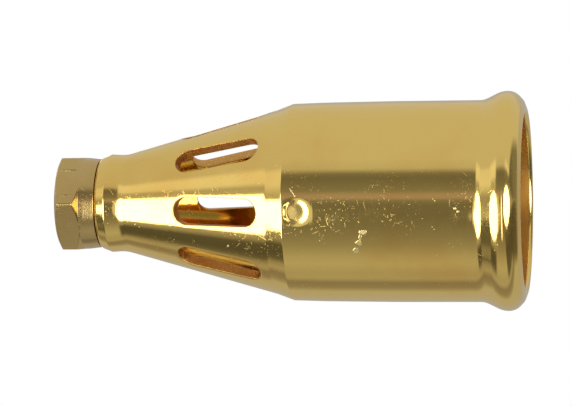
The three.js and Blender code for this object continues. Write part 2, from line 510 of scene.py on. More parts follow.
class Nodes:
    """Short names for building a node tree."""

    def __init__(self, tree: bpy.types.NodeTree) -> None:
        """Starts with the tree that the nodes go into."""
        self.tree = tree

    def node(self, kind: str, **settings: object) -> bpy.types.Node:
        """Makes a node.

        Args:
            kind: Blender's type name of the node.
            settings: its properties.

        Returns:
            The node.
        """
        made = self.tree.nodes.new(kind)
        for key, value in settings.items():
            setattr(made, key, value)
        return made

    def put(self, socket: bpy.types.NodeSocket, value: object) -> None:
        """Links a socket to an output, or sets its value.

        Args:
            socket: an input.
            value: an output to link to, or a value.
        """
        if isinstance(value, bpy.types.NodeSocket):
            self.tree.links.new(value, socket)
        else:
            socket.default_value = value

    def math(self, operation: str, *values: object, clamp: bool = False) -> bpy.types.NodeSocket:
        """Makes a math node.

        Args:
            operation: Blender's name of the operation.
            values: outputs or numbers, in the order of the inputs.
            clamp: holds the result to 0..1.

        Returns:
            Its output.
        """
        made = self.node("ShaderNodeMath", operation=operation, use_clamp=clamp)
        for socket, value in zip(made.inputs, values):
            self.put(socket, value)
        return made.outputs[0]

    def ramp(
        self, value: object, low: float, high: float, to_low: float = 0.0, to_high: float = 1.0
    ) -> bpy.types.NodeSocket:
        """Maps low..high smoothly to to_low..to_high.

        Args:
            value: an output.
            low: value that gives to_low.
            high: value that gives to_high.
            to_low: result up to low.
            to_high: result from high on.

        Returns:
            The result.
        """
        made = self.node("ShaderNodeMapRange", interpolation_type="SMOOTHSTEP")
        self.put(made.inputs["Value"], value)
        for name, number in zip(("From Min", "From Max", "To Min", "To Max"), (low, high, to_low, to_high)):
            made.inputs[name].default_value = number
        return made.outputs[0]

    def mix(self, factor: object, first: object, second: object) -> bpy.types.NodeSocket:
        """Mixes two colours.

        Args:
            factor: 0 for the first colour, 1 for the second.
            first: an output or a colour.
            second: an output or a colour.

        Returns:
            The mixed colour.
        """
        made = self.node("ShaderNodeMix", data_type="RGBA")
        self.put(made.inputs["Factor"], factor)
        self.put(made.inputs[6], first)
        self.put(made.inputs[7], second)
        return made.outputs[2]


class Shader(Nodes):
    """Material with one principled shader, patterned on object coordinates."""

    def __init__(self, name: str) -> None:
        """Starts the material.

        Args:
            name: the material's name.
        """
        self.material = bpy.data.materials.new(name)
        self.material.use_nodes = True
        super().__init__(self.material.node_tree)
        self.main = self.tree.nodes["Principled BSDF"]
        self.place = self.node("ShaderNodeTexCoord").outputs["Object"]

    def mapped(self, vector: bpy.types.NodeSocket, **inputs: object) -> bpy.types.NodeSocket:
        """Turns or scales coordinates with a mapping node.

        Args:
            vector: coordinates.
            inputs: the node's Rotation in radians, or its Scale.

        Returns:
            The new coordinates.
        """
        made = self.node("ShaderNodeMapping")
        self.put(made.inputs["Vector"], vector)
        for name, value in inputs.items():
            made.inputs[name].default_value = value
        return made.outputs[0]

    def round_axis(self, along: float, around: float) -> bpy.types.NodeSocket:
        """Makes coordinates that run round the axis.

        Args:
            along: scale along the axis.
            around: scale of the angle about the axis.

        Returns:
            The coordinates (x * along, angle * around, radius * 40).
        """
        split = self.node("ShaderNodeSeparateXYZ")
        self.put(split.inputs[0], self.place)
        angle = self.math("ARCTAN2", split.outputs[2], split.outputs[1])
        y2 = self.math("POWER", split.outputs[1], 2.0)
        z2 = self.math("POWER", split.outputs[2], 2.0)
        radius = self.math("SQRT", self.math("ADD", y2, z2))
        join = self.node("ShaderNodeCombineXYZ")
        self.put(join.inputs[0], self.math("MULTIPLY", split.outputs[0], along))
        self.put(join.inputs[1], self.math("MULTIPLY", angle, around))
        self.put(join.inputs[2], self.math("MULTIPLY", radius, 40.0))
        return join.outputs[0]

    def noise(
        self, vector: bpy.types.NodeSocket, scale: float, detail: float = 3.0, rough: float = 0.5
    ) -> bpy.types.NodeSocket:
        """Makes a noise texture.

        Args:
            vector: coordinates.
            scale: number of features in a metre.
            detail: number of finer layers.
            rough: strength of the finer layers.

        Returns:
            The noise, from 0 to 1.
        """
        made = self.node("ShaderNodeTexNoise")
        self.put(made.inputs["Vector"], vector)
        made.inputs["Scale"].default_value = scale
        made.inputs["Detail"].default_value = detail
        made.inputs["Roughness"].default_value = rough
        return made.outputs["Fac"]

    def cells(self, vector: bpy.types.NodeSocket, scale: float) -> bpy.types.NodeSocket:
        """Makes a Voronoi texture.

        Args:
            vector: coordinates.
            scale: number of cells in a metre.

        Returns:
            The distance to the nearest point.
        """
        made = self.node("ShaderNodeTexVoronoi")
        self.put(made.inputs["Vector"], vector)
        made.inputs["Scale"].default_value = scale
        return made.outputs["Distance"]

    def attribute(self, name: str) -> bpy.types.NodeSocket:
        """Returns a mesh attribute's value."""
        return self.node("ShaderNodeAttribute", attribute_name=name).outputs["Fac"]

    def bump(self, height: bpy.types.NodeSocket, distance: float) -> None:
        """Adds a bump to the shader's normal.

        Args:
            height: an output from 0 to 1.
            distance: what a height of 1 stands for, in metres.
        """
        made = self.node("ShaderNodeBump")
        made.inputs["Distance"].default_value = distance
        made.inputs["Strength"].default_value = 1.0
        self.put(made.inputs["Height"], height)
        before = self.main.inputs["Normal"]
        if before.is_linked:
            self.put(made.inputs["Normal"], before.links[0].from_socket)
        self.put(before, made.outputs[0])


Colour = tuple[float, float, float, float]

# Depths of the brass's bumps, in metres
WAVE_DEPTH = 0.00016
LINE_DEPTH = 0.000004
SCRATCH_DEPTH = 0.000004
SPECK_DEPTH = 0.000006
CHIP_DEPTH = 0.0001
CUT_DEPTH = 0.00016
INSIDE_DEPTH = 0.0003


class Wear(Enum):
    """How much a surface has been handled."""

    HANDLED = 1.0
    HOT = 0.7


@dataclass(frozen=True)
class Mark:
    """Ellipsoid in which a surface is marked.

    Attributes:
        centre: its centre, in mm.
        half: its half axes along X, Y and Z before it is turned, in mm.
        turn: its turn about Y, in degrees.
        strength: 1 for a pale chip, less for rubbed metal.
        dent: depth of a smooth dent in mm, or 0 for a chip or scratch.
    """

    centre: tuple[float, float, float]
    half: tuple[float, float, float]
    turn: float = 0.0
    strength: float = 1.0
    dent: float = 0.0

    def mask(self, s: Shader, ragged: bpy.types.NodeSocket) -> bpy.types.NodeSocket:
        """Finds where the mark is: inside the ellipsoid, with a ragged border.

        Args:
            s: the material.
            ragged: noise that shifts the border.

        Returns:
            The mark's strength, or its depth in mm for a dent.
        """
        made = s.node("ShaderNodeMapping", vector_type="TEXTURE")
        s.put(made.inputs["Vector"], s.place)
        made.inputs["Location"].default_value = [v * MM for v in self.centre]
        made.inputs["Rotation"].default_value = (0.0, math.radians(self.turn), 0.0)
        made.inputs["Scale"].default_value = [v * MM for v in self.half]
        length = s.node("ShaderNodeVectorMath", operation="LENGTH")
        s.put(length.inputs[0], made.outputs[0])
        if self.dent:
            return s.ramp(length.outputs["Value"], 0.0, 1.0, self.dent, 0.0)
        reach = s.math("MULTIPLY_ADD", ragged, 2.4, length.outputs["Value"])
        return s.ramp(reach, 1.85, 2.15, self.strength, 0.0)


@dataclass(frozen=True)
class Brass:
    """Brass, from mirror polish to heat-tinted.

    Attributes:
        name: material name.
        colour: base colour.
        tint: colour of blotches.
        cut: colour of raw cut walls.
        core: colour painted on the inside where it is in shade: painted shade.
        heat_tint_and_shade: darker colour where the inside's shade is deepest, towards the flame: heat tint
            and painted shade.
        heat_tint_and_shade: colour of the inside where the flame burns.
        roughness: lowest roughness.
        haze: roughness added by smudges.
        lines: strength of the fine lines left by turning or polishing, around the axis.
        wear: how much the surface has been handled.
        marks: single chips and scratches.
        chip: colour of the marks.
    """

    name: str
    colour: Colour
    tint: Colour
    cut: Colour
    core: Colour
    heat_tint_and_shade: Colour
    roughness: float
    haze: float
    lines: float
    wear: Wear
    marks: tuple[Mark, ...] = ()
    chip: Colour = (0.92, 0.74, 0.38, 1.0)

    def material(self) -> bpy.types.Material:
        """Builds the material.

        Returns:
            The material.
        """
        s = Shader(self.name)
        wear = self.wear.value
        cut, inside = s.attribute("cut"), s.attribute("inside")
        broad = s.noise(s.place, 45.0, 4.0, 0.55)
        fine = s.noise(s.place, 600.0, 3.0, 0.6)
        scratches = self.scratches(s)
        specks = s.math(
            "MULTIPLY",
            s.ramp(s.cells(s.place, 900.0), 0.12, 0.2, 1.0, 0.0),
            s.ramp(s.noise(s.place, 260.0, 2.0), 0.57, 0.64),
        )
        marks = self.marked(s, fine)
        chatter = s.noise(s.place, 2100.0, 2.0, 0.6)
        tinted = s.mix(s.math("MULTIPLY", s.ramp(broad, 0.45, 0.75), 0.8), self.colour, self.tint)
        tinted = s.mix(marks, tinted, self.chip)
        # Painted shade: the inside flag turns the colour to the core colour, and where it is deepest to a
        # darker colour that also stands for heat tint
        painted_shade_colour = s.mix(s.math("MULTIPLY", inside, 2.2, clamp=True), tinted, self.core)
        painted_shade_colour = s.mix(s.ramp(inside, 0.6, 1.0), painted_shade_colour, self.heat_tint_and_shade)
        raw = s.mix(s.ramp(chatter, 0.56, 0.68), self.cut, (0.96, 0.56, 0.20, 1.0))
        s.put(s.main.inputs["Base Color"], s.mix(cut, painted_shade_colour, raw))
        rough = s.math("MULTIPLY_ADD", s.ramp(broad, 0.35, 0.75), self.haze, self.roughness)
        for amount, value in (
            (scratches, 0.3 * wear),
            (s.ramp(fine, 0.45, 0.8), self.haze * 0.7),
            (specks, 0.3 * wear),
            (marks, 0.3),
            (s.math("POWER", inside, 3.0), 0.30),
            (cut, 0.26),
        ):
            rough = s.math("MULTIPLY_ADD", amount, value, rough, clamp=True)
        s.put(s.main.inputs["Roughness"], rough)
        s.main.inputs["Metallic"].default_value = 1.0
        s.bump(s.noise(s.place, 30.0, 1.0), WAVE_DEPTH)
        for mark in self.marks:
            if mark.dent:
                s.bump(s.math("MULTIPLY", mark.mask(s, fine), -1.0), MM)
        s.bump(s.noise(s.round_axis(3000.0, 3.0), 1.0, 2.0), LINE_DEPTH * self.lines)
        s.bump(s.math("MULTIPLY", scratches, -1.0), SCRATCH_DEPTH * wear)
        s.bump(specks, SPECK_DEPTH * wear)
        s.bump(s.math("MULTIPLY", marks, fine), CHIP_DEPTH)
        s.bump(s.math("MULTIPLY", chatter, cut), CUT_DEPTH)
        s.bump(s.math("MULTIPLY", broad, inside), INSIDE_DEPTH)
        return s.material

    def marked(self, s: Shader, ragged: bpy.types.NodeSocket) -> bpy.types.NodeSocket | float:
        """Joins the single marks.

        Args:
            s: the material.
            ragged: noise that shifts the marks' borders.

        Returns:
            The strongest mark at each place, or 0 where the finish has none.
        """
        found = 0.0
        for mark in self.marks:
            if not mark.dent:
                found = s.math("MAXIMUM", found, mark.mask(s, ragged))
        return found

    def scratches(self, s: Shader) -> bpy.types.NodeSocket:
        """Makes short hairlines in several directions, slightly bent: the middles of long thin cells.

        Args:
            s: the material.

        Returns:
            1 on a hairline and 0 elsewhere.
        """
        bend = s.node("ShaderNodeTexNoise")
        s.put(bend.inputs["Vector"], s.place)
        bend.inputs["Scale"].default_value = 110.0
        bent = s.node("ShaderNodeVectorMath", operation="MULTIPLY_ADD")
        s.put(bent.inputs[0], bend.outputs["Color"])
        bent.inputs[1].default_value = (0.004, 0.004, 0.004)
        s.put(bent.inputs[2], s.place)
        found = 0.0
        for turn, long, across in (
            ((8, 12, 10), 90.0, 1300.0),
            ((-20, 64, -12), 120.0, 1500.0),
            ((15, -38, 5), 75.0, 1250.0),
            ((-5, 105, 20), 130.0, 1600.0),
            ((40, -75, -30), 110.0, 1400.0),
        ):
            turned = s.mapped(bent.outputs[0], Rotation=[math.radians(v) for v in turn])
            stretched = s.mapped(turned, Scale=(long, across, across))
            needle = s.ramp(s.cells(stretched, 1.0), 0.07, 0.17, 1.0, 0.0)
            found = s.math("MAXIMUM", found, needle)
        where = s.ramp(s.noise(s.place, 75.0, 2.0), 0.42, 0.62, 0.15, 1.0)
        return s.math("MULTIPLY", found, where)


@dataclass(frozen=True)
class Plain:
    """Simple material for the small inner pieces, with speckled colour and roughness.

    Attributes:
        name: material name.
        colour: base colour.
        other: colour of its speckles.
        roughness: middle roughness.
        metallic: 1 for metal, 0 for other materials.
        grain: size of the speckles, as a texture scale.
        relief: bump height, in metres.
    """

    name: str
    colour: Colour
    other: Colour
    roughness: float
    metallic: float
    grain: float
    relief: float

    def material(self) -> bpy.types.Material:
        """Builds the material.

        Returns:
            The material.
        """
        s = Shader(self.name)
        grain = s.noise(s.place, self.grain, 4.0, 0.6)
        s.put(s.main.inputs["Base Color"], s.mix(s.ramp(grain, 0.4, 0.7), self.colour, self.other))
        rough = s.ramp(grain, 0.3, 0.7, self.roughness - 0.08, self.roughness + 0.12)
        s.put(s.main.inputs["Roughness"], rough)
        s.main.inputs["Metallic"].default_value = self.metallic
        s.bump(grain, self.relief)
        return s.material


POLISHED = Brass(
    "polished_brass",
    colour=(0.90, 0.64, 0.185, 1),
    tint=(0.86, 0.54, 0.14, 1),
    cut=(0.68, 0.37, 0.10, 1),
    core=(0.98, 0.60, 0.09, 1),
    heat_tint_and_shade=(0.76, 0.41, 0.085, 1),
    roughness=0.055,
    haze=0.05,
    lines=0.4,
    wear=Wear.HANDLED,
    marks=(
        Mark((82.9, -25.5, -4.7), (0.9, 1.2, 0.8), 0.0, 0.8),
        Mark((82.1, -25.3, -6.0), (0.5, 1.2, 0.9), 20.0, 0.7),
        Mark((81.5, -24.9, -7.4), (0.9, 1.2, 0.7), 0.0, 0.8),
        Mark((80.9, -24.3, -9.4), (0.8, 1.2, 0.9), -15.0, 0.75),
        Mark((106.2, -26.1, 1.4), (0.35, 1.0, 0.35)),
        Mark((107.0, -26.1, 0.6), (0.4, 1.0, 0.3)),
        Mark((65.0, -24.9, 5.6), (1.5, 1.5, 0.16), 55.0),
        Mark((75.8, -25.9, -2.2), (2.6, 2.0, 2.4), 0.0, 0.1),
        Mark((65.6, -25.5, 0.4), (3.0, 2.0, 3.0), 0.0, 0.14),
        Mark((65.6, 12.4, 22.3), (3.0, 2.0, 2.0), 0.0, 0.14),
        Mark((65.6, 13.1, -21.9), (3.0, 2.0, 2.0), 0.0, 0.14),
        Mark((47.0, -20.0, -9.0), (0.5, 1.5, 0.4), 30.0, 0.8),
        Mark((108.3, -26.1, -0.6), (3.9, 5.0, 3.2), 0.0, 0.0, 0.12),
    ),
)
TURNED = Brass(
    "turned_brass",
    colour=(0.62, 0.44, 0.17, 1),
    tint=(0.54, 0.36, 0.12, 1),
    cut=(0.75, 0.42, 0.12, 1),
    core=(0.80, 0.52, 0.10, 1),
    heat_tint_and_shade=(0.66, 0.36, 0.11, 1),
    roughness=0.15,
    haze=0.10,
    lines=6.0,
    wear=Wear.HANDLED,
    marks=(
        Mark((3.3, -7.77, 9.72), (3.6, 0.5, 0.16), 0.0, 0.75),
        Mark((3.3, -12.18, 3.65), (3.6, 0.5, 0.16), 0.0, 0.75),
        Mark((3.3, 9.0, -8.1), (3.6, 0.5, 0.16), 0.0, 0.75),
    ),
    chip=(0.16, 0.10, 0.045, 1.0),
)
HOT = Brass(
    "heat_tinted_brass",
    colour=(0.74, 0.44, 0.13, 1),
    tint=(0.50, 0.26, 0.10, 1),
    cut=(0.70, 0.35, 0.10, 1),
    core=(0.70, 0.38, 0.10, 1),
    heat_tint_and_shade=(0.58, 0.30, 0.10, 1),
    roughness=0.26,
    haze=0.14,
    lines=2.0,
    wear=Wear.HOT,
)
COPPER = Plain("copper", (0.86, 0.42, 0.26, 1), (0.62, 0.28, 0.16, 1), 0.36, 1.0, 900.0, 0.00001)
STEEL = Plain("steel", (0.62, 0.61, 0.58, 1), (0.45, 0.44, 0.42, 1), 0.32, 1.0, 1400.0, 0.000005)
SOLDER = Plain("solder", (0.55, 0.51, 0.42, 1), (0.30, 0.26, 0.18, 1), 0.42, 1.0, 1600.0, 0.00004)
FIBRE = Plain("fibre", (0.16, 0.035, 0.02, 1), (0.24, 0.07, 0.04, 1), 0.7, 0.0, 2600.0, 0.00003)


# --------------------------------------------------------------------------------------------------------
# Pieces
# --------------------------------------------------------------------------------------------------------


class Piece:
    """Piece that stands for a node. Each kind has a finish, and a shape that adds its grids."""

    finish: Brass | Plain

    def shape(self, builder: Builder) -> None:
        """Adds the piece's grids to the builder."""
        raise NotImplementedError

    def build(self, name: str) -> bpy.types.Object:
        """Builds the piece.

        Args:
            name: the node that it stands for.

        Returns:
            The finished object.
        """
        builder = Builder(name + "_surface")
        self.shape(builder)
        return builder.finish(self.finish.material())


@dataclass
class BurnerBody(Piece):
    """Body of the burner: neck, cone with air slots, barrel with punch dimples and beaded mouth.

    Attributes:
        outer: outside of the cone.
        inner: inside of the cone.
        cone_low: where the slotted part of the cone starts on the axis, in mm.
        cone_high: where it ends.
        cone_rows: number of border points along a slot's piece of the cone.
        slot_count: number of slots.
        slot_x: the slots' middle on the axis, in mm.
        slot: a slot's shape.
        dimple_count: number of dimples.
        dimple_x: the dimples' middle on the axis, in mm.
        dimple_rows: where the rows with the dimples start and end on the axis, in mm.
        dimple_depth: their depth, in mm.
        dimple_columns: half the width of a dimple's patch, in columns.
        dimple_rings: rings from the border of a dimple's patch to its middle.
        dimple_turn: turn of the dimples from the side facing -Y, in columns.
        barrel: outside of the barrel where the dimples are.
        finish: its finish.
    """

    outer: Cone = Cone(58.1, 24.2, 0.2815)
    inner: Cone = Cone(57.6, 21.2, 0.2861)
    cone_low: float = 30.4
    cone_high: float = 57.2
    cone_rows: int = 33
    slot_count: int = 8
    slot_x: float = 43.75
    slot: Window = Window(7.95, 3.62, 0.42, 0.22, 8, 6)
    dimple_count: int = 3
    dimple_x: float = 65.6
    dimple_rows: tuple[float, float] = (62.3, 70.1)
    dimple_depth: float = 0.25
    dimple_columns: int = 6
    dimple_rings: int = 34
    dimple_turn: int = 1
    barrel: Cone = Cone(62.6, 25.70, 0.0303)
    finish: Brass = POLISHED

    def neck(self) -> np.ndarray:
        """Path from the cone's outside round the neck to the cone's inside.

        Returns:
            The path as (x, r) points.
        """
        low = self.cone_low
        return filleted(
            [
                (low, float(self.outer.at(low)), 0.0),
                (17.0, 12.63, 9.0),
                (13.35, 12.86, 0.8),
                (11.2, 12.03, 0.5),
                (10.7, 11.62, 0.15),
                (10.7, 10.9, 0.08),
                (11.9, 10.9, 0.0),
                (11.9, 9.7, 0.1),
                (20.6, 9.7, 0.25),
                (21.6, 10.9, 0.5),
                (low, float(self.inner.at(low)), 0.0),
            ]
        )

    def mouth(self) -> tuple[np.ndarray, int, int]:
        """Path from the cone's inside round the mouth to the cone's outside.

        Returns:
            The path, and the first and last index of the rows that the dimples stand in.
        """
        low, high = self.dimple_rows
        first = filleted(
            [
                (self.cone_high, float(self.inner.at(self.cone_high)), 0.0),
                (57.6, 21.2, 0.0),
                (61.2, 22.6, 2.0),
                (62.6, 22.9, 1.0),
                (122.5, 22.9, 0.95),
                (122.5, 24.2, 1.2),
                (121.8, 26.1, 2.2),
                (119.6, 28.5, 4.0),
                (116.4, 28.49, 6.0),
                (111.7, 26.17, 4.5),
                (107.0, 26.16, 30.0),
                (89.0, 26.14, 40.0),
                (high, float(self.barrel.at(high)), 0.0),
            ]
        )
        x = np.linspace(high, low, 2 * self.dimple_columns + 1)
        rows = np.stack([x, self.barrel.at(x)], axis=1)
        last = filleted(
            [
                (low, float(self.barrel.at(low)), 0.0),
                (61.95, 25.68, 0.7),
                (57.5, float(self.outer.at(57.5)), 5.0),
                (self.cone_high, float(self.outer.at(self.cone_high)), 0.0),
            ],
            turn=4.0,
        )
        start = len(first) - 1
        return np.concatenate([first[:-1], rows, last[1:]]), start, start + 2 * self.dimple_columns

    def dimple_height(self, distance: np.ndarray, reach: np.ndarray) -> np.ndarray:
        """Depth of a dimple: a floor, a wall and a soft shoulder, as a sum of two smooth steps.

        The wall's step takes 0.76 of the depth and the shoulder's the rest. The floor carries half a cosine
        wave of 0.012 mm, highest in the middle.

        Args:
            distance: distance from the dimple's middle, in mm.
            reach: distance at which the shoulder ends, in mm.

        Returns:
            The depth, in mm.
        """
        wall = 1.0 - smooth_step(2.05, 3.35, distance)
        shoulder = 1.0 - smooth_step(0.0, 1.0, (distance - 2.7) / (reach - 2.7))
        dome = 0.012 * np.cos(np.clip(distance / 2.0, 0.0, 1.0) * math.pi)
        return self.dimple_depth * (0.76 * wall + 0.24 * shoulder) - dome * wall

    def dimple(self) -> np.ndarray:
        """Rings from the border of a dimple's patch to its middle.

        Ring t is at distance border + (0.1 - border) t from the middle, towards each border point. Its
        angle is the way round divided by the mean radius, and its radius is the barrel's less the depth.

        Returns:
            The points as (rings, border points, 3).
        """
        half = self.dimple_columns * 2.0 * math.pi / COLUMNS
        x, q = border_of(
            np.linspace(*self.dimple_rows, 2 * self.dimple_columns + 1),
            np.linspace(-half, half, 2 * self.dimple_columns + 1),
        )
        mean = float(self.barrel.at(self.dimple_x))
        a, b = x - self.dimple_x, q * mean
        border = np.hypot(a, b)
        t = np.linspace(0.0, 1.0, self.dimple_rings)[:, None]
        distance = border + (0.1 - border) * t
        px = self.dimple_x + a / border * distance
        pq = b / border * distance / mean
        reach = np.minimum(border, 4.15) * 0.985
        r = self.barrel.at(px) - self.dimple_height(distance, reach)
        turn = self.dimple_turn * 360.0 / COLUMNS
        return turn_about_x(np.stack([px, -r * np.cos(pq), r * np.sin(pq)], axis=2), turn)

    def sector(self) -> tuple[np.ndarray, np.ndarray, np.ndarray]:
        """One slot with the piece of cone around it, and the flags of its rings.

        Returns:
            The points as (rings, border points, 3), and the cut and inside flags of the rings.
        """
        half = math.pi / self.slot_count
        x, q = border_of(
            np.linspace(self.cone_low, self.cone_high, self.cone_rows),
            np.linspace(-half, half, COLUMNS // self.slot_count + 1),
        )
        tilt = math.atan(self.outer.slope)
        centre = self.slot_x * math.cos(tilt) + float(self.outer.at(self.slot_x)) * math.sin(tilt)
        front = ConeFace(self.outer, tilt, centre, x, q, 1.0)
        back = ConeFace(self.inner, tilt, centre, x, q, -1.0)
        rings, cut = self.slot.rings(front, back)
        # The cone's inside and the flatter half of the edge there are in half shade
        inside = np.zeros(len(rings))
        inside[-(self.slot.back_rings + 4) :] = 0.5
        return rings, cut, inside

    def shape(self, builder: Builder) -> None:
        """Adds the neck, the mouth with its barrel, the slots and the dimples.

        Args:
            builder: the piece's builder.
        """
        neck = self.neck()
        # The neck's bore and the rows past its end face are in half shade
        inner = (neck[:, 1] < 11.0) | (np.arange(len(neck)) > int(neck[:, 0].argmin()) + 1)
        builder.grid(revolve(neck, COLUMNS), inside=inner * 0.5)
        path, start, end = self.mouth()
        keep = np.ones((len(path) - 1, COLUMNS), bool)
        for k in range(self.dimple_count):
            middle = k * COLUMNS // self.dimple_count + self.dimple_turn
            columns = np.arange(middle - self.dimple_columns, middle + self.dimple_columns) % COLUMNS
            keep[start:end, columns] = False
        # The barrel's inside gets painted shade, darker towards the flame, where its colour also stands for
        # heat tint
        hidden = (np.arange(len(path)) < int(path[:, 0].argmax())) & (path[:, 0] < 121.5)
        depth = hidden * (0.5 + 0.5 * smooth_step(60.0, 75.0, path[:, 0]))
        builder.grid(revolve(path, COLUMNS), keep=keep, inside=depth)
        rings, cut, inside = self.sector()
        for k in range(self.slot_count):
            builder.grid(turn_about_x(rings, k * 360.0 / self.slot_count), cut=cut, inside=inside)
        dimple = self.dimple()
        for k in range(self.dimple_count):
            placed = turn_about_x(dimple, k * 360.0 / self.dimple_count)
            builder.grid(placed)
            builder.cap(placed[-1])


@dataclass
class InletSocket(Piece):
    """Inlet socket: spanner hexagon, round collar, threaded bore, web with the carrier's hole, spigot.

    Attributes:
        flats: distance across the hexagon's flats, in mm.
        corner: angle of one corner of the hexagon, in degrees.
        hex_end: where the hexagon ends on the axis, in mm.
        columns: number of points round the axis.
        bore: radius of the inlet bore, in mm.
        bore_rows: rows along the thread.
        pitch: the thread's pitch, in mm.
        thread_depth: the thread's depth, in mm.
        finish: its finish.
    """

    flats: float = 24.0
    corner: float = 6.0
    hex_end: float = 6.35
    columns: int = 288
    bore: float = 9.5
    bore_rows: int = 79
    pitch: float = 1.0
    thread_depth: float = 0.45
    finish: Brass = TURNED

    def path(self) -> np.ndarray:
        """Closed outline from the inlet face over the outside and back through the bore.

        Returns:
            The outline as (x, r) points.
        """
        head = [(0.0, 10.3, 0.0), (0.0, 11.5, 0.12), (1.3, 13.9, 0.2), (4.85, 13.9, 0.2), (6.3, 12.03, 0.0)]
        body = [
            (6.3, 12.03, 0.0),
            (7.4, 11.97, 3.0),
            (10.4, 11.62, 0.2),
            (10.4, 9.4, 0.1),
            (18.0, 9.4, 0.3),
            (18.0, 6.4, 0.2),
            (12.6, 6.4, 0.1),
            (12.6, 4.75, 0.15),
            (9.0, 4.75, 0.15),
            (9.0, 9.4, 0.0),
            (8.8, self.bore, 0.0),
        ]
        x = np.linspace(8.8, 0.8, self.bore_rows + 1)[1:]
        bore = np.stack([x, np.full_like(x, self.bore)], axis=1)
        parts = [filleted(head, step=0.16), filleted(body, step=1.2)[1:], bore, [[0.4, 9.9]]]
        return np.concatenate(parts)

    def shape(self, builder: Builder) -> None:
        """Adds the socket, with a helical thread in its bore.

        The thread's radius is bore + thread_depth t(x / pitch + turns), where t is a wave of straight flanks
        with flat tops and bottoms, which fades out at both ends.

        Args:
            builder: the piece's builder.
        """
        path = self.path()
        grid = hexed(path, self.columns, self.flats, self.corner, (-1.0, self.hex_end))
        q = np.arange(self.columns) / self.columns
        x = path[:, :1]
        bore = (np.abs(path[:, 1:] - self.bore) < 0.01) & (x < 8.85) & (x > 0.7)
        phase = np.mod(x / self.pitch + q, 1.0)
        tooth = np.clip(np.abs(phase - 0.5) * 2.0 * 1.25 - 0.12, 0.0, 1.0)
        fade = smooth_step(0.75, 1.5, x) * (1.0 - smooth_step(7.8, 8.8, x))
        r = np.hypot(grid[..., 1], grid[..., 2])
        longer = np.where(bore, r + self.thread_depth * tooth * fade, r)
        grid[..., 1:] *= (longer / r)[..., None]
        # Past the collar's end face, all rows but the inlet's chamfer are in shade
        index = np.arange(len(path))
        hidden = (index > int(np.argmax(path[:, 0] >= 10.39))) & (path[:, 0] > 1.0)
        builder.grid(grid, wrap_rows=True, inside=hidden * 0.6)


@dataclass
class Turned(Piece):
    """Piece turned about the axis, some of them with a spanner hexagon.

    Attributes:
        corners: closed outline as (x, r, fillet), in the order that runs over the outside towards +X.
        finish: its finish.
        flats: distance across the hexagon's flats in mm, or 0.
        corner: angle of one corner of the hexagon, in degrees.
        span: where the hexagon starts and ends on the axis.
        columns: number of points round the axis.
        step: largest distance between rows, in mm.
    """

    corners: Profile
    finish: Brass | Plain
    flats: float = 0.0
    corner: float = 0.0
    span: tuple[float, float] = (0.0, 0.0)
    columns: int = 192
    step: float = 0.6

    def shape(self, builder: Builder) -> None:
        """Adds the turned outline.

        Args:
            builder: the piece's builder.
        """
        middle = (np.array(self.corners[0][:2]) + np.array(self.corners[-1][:2])) / 2.0
        ends = (float(middle[0]), float(middle[1]), 0.0)
        path = filleted([ends, *self.corners, ends], step=self.step)[:-1]
        if self.flats:
            grid = hexed(path, self.columns, self.flats, self.corner, self.span)
        else:
            grid = revolve(path, self.columns)
        builder.grid(grid, wrap_rows=True)


@dataclass(frozen=True)
class HoleCircle:
    """Circle of holes in a disc, with the band of disc around them.

    Attributes:
        count: number of holes.
        pitch: radius of the circle of centres, in mm.
        radius: radius of a hole, in mm.
        low: inner radius of the band, in mm.
        high: outer radius of the band, in mm.
        start: angle of the first hole, in degrees.
    """

    count: int
    pitch: float
    radius: float
    low: float
    high: float
    start: float


@dataclass
class Perforated(Piece):
    """Disc or ring with circles of holes.

    Attributes:
        outer: open outline from the front face over the rim to the back face, as (x, r, fillet).
        inner: open outline from the back face over the bore to the front face.
        circles: the circles of holes, from the inside out.
        finish: its finish.
        columns: number of points round the axis.
        edge: rounding of the holes' edges, in mm.
    """

    outer: Profile
    inner: Profile
    circles: tuple[HoleCircle, ...]
    finish: Brass | Plain
    columns: int
    edge: float = 0.12

    def shape(self, builder: Builder) -> None:
        """Adds the rim, the bore and the holes.

        Args:
            builder: the piece's builder.
        """
        front, back = self.outer[0][0], self.inner[0][0]
        builder.grid(revolve(filleted(self.outer, step=0.8), self.columns))
        builder.grid(revolve(filleted(self.inner, step=0.8), self.columns))
        for circle in self.circles:
            share = self.columns // circle.count
            half = share * math.pi / self.columns
            r, q = border_of(np.linspace(circle.low, circle.high, 9), np.linspace(-half, half, share + 1))
            window = Window(0.0, circle.radius, self.edge, self.edge, 4, 4)
            rings, cut = window.rings(
                DiscFace(front, 1.0, circle.pitch, r, q), DiscFace(back, -1.0, circle.pitch, r, q)
            )
            for k in range(circle.count):
                turned = turn_about_x(rings, circle.start + k * 360.0 / circle.count)
                builder.grid(turned, cut=cut * 0.5)


def washer(
    x: tuple[float, float], r: tuple[float, float], fillets: tuple[float, float], finish: Plain, step: float
) -> Turned:
    """Flat ring of rectangular section.

    Args:
        x: where it starts and ends on the axis.
        r: its inner and outer radius.
        fillets: rounding of its inner and outer edges.
        finish: its finish.
        step: largest distance between rows, in mm.

    Returns:
        The ring.
    """
    inner, outer = zip(r, fillets)
    corners = ((x[0], *inner), (x[0], *outer), (x[1], *outer), (x[1], *inner))
    return Turned(corners, finish, step=step)


